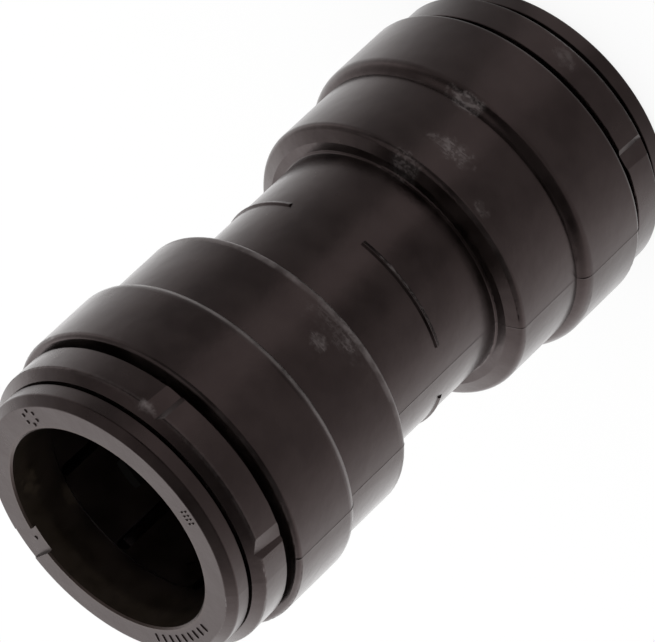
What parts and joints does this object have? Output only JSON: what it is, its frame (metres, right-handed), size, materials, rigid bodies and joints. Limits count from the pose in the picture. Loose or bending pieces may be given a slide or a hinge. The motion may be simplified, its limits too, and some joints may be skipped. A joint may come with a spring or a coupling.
{
  "type": "straight push-fit tube connector",
  "caption": "Straight push-fit connector for 22 mm tube, with a sliding release collet, steel grab teeth and an O-ring at each end.",
  "frame": {"origin": "centre of the lower end face, on the connector's axis", "axes": "+Z along the axis, up from the lower end to the upper one; the mould's parting plane is the plane of X and Z"},
  "size_m": [0.0326, 0.0326, 0.0653],
  "materials": {
    "body": "semi-gloss black moulded acetal",
    "cartridge": "semi-gloss black moulded acetal",
    "collet": "semi-gloss black moulded acetal, satin on the end face",
    "o_ring": "lightly greased rubber",
    "tooth": "bare stainless steel"
  },
  "bodies": {
    "fitting": {"body": "body", "cartridge_top": "cartridge", "cartridge_bottom": "cartridge", "o_ring_top": "o_ring", "o_ring_bottom": "o_ring"},
    "release_top": {"collet_top": "collet", "tooth_top_1": "tooth", "tooth_top_2": "tooth", "tooth_top_3": "tooth", "tooth_top_4": "tooth", "tooth_top_5": "tooth", "tooth_top_6": "tooth", "tooth_top_7": "tooth", "tooth_top_8": "tooth"},
    "release_bottom": {"collet_bottom": "collet", "tooth_bottom_1": "tooth", "tooth_bottom_2": "tooth", "tooth_bottom_3": "tooth", "tooth_bottom_4": "tooth", "tooth_bottom_5": "tooth", "tooth_bottom_6": "tooth", "tooth_bottom_7": "tooth", "tooth_bottom_8": "tooth"}
  },
  "joints": [
    {"name": "collet_top_slide", "type": "slide", "parent": "fitting", "child": "release_top", "axis": [0, 0, 1], "range_m": [-0.0003, 0.002]},
    {"name": "collet_bottom_slide", "type": "slide", "parent": "fitting", "child": "release_bottom", "axis": [0, 0, -1], "range_m": [-0.0003, 0.002]}
  ]
}
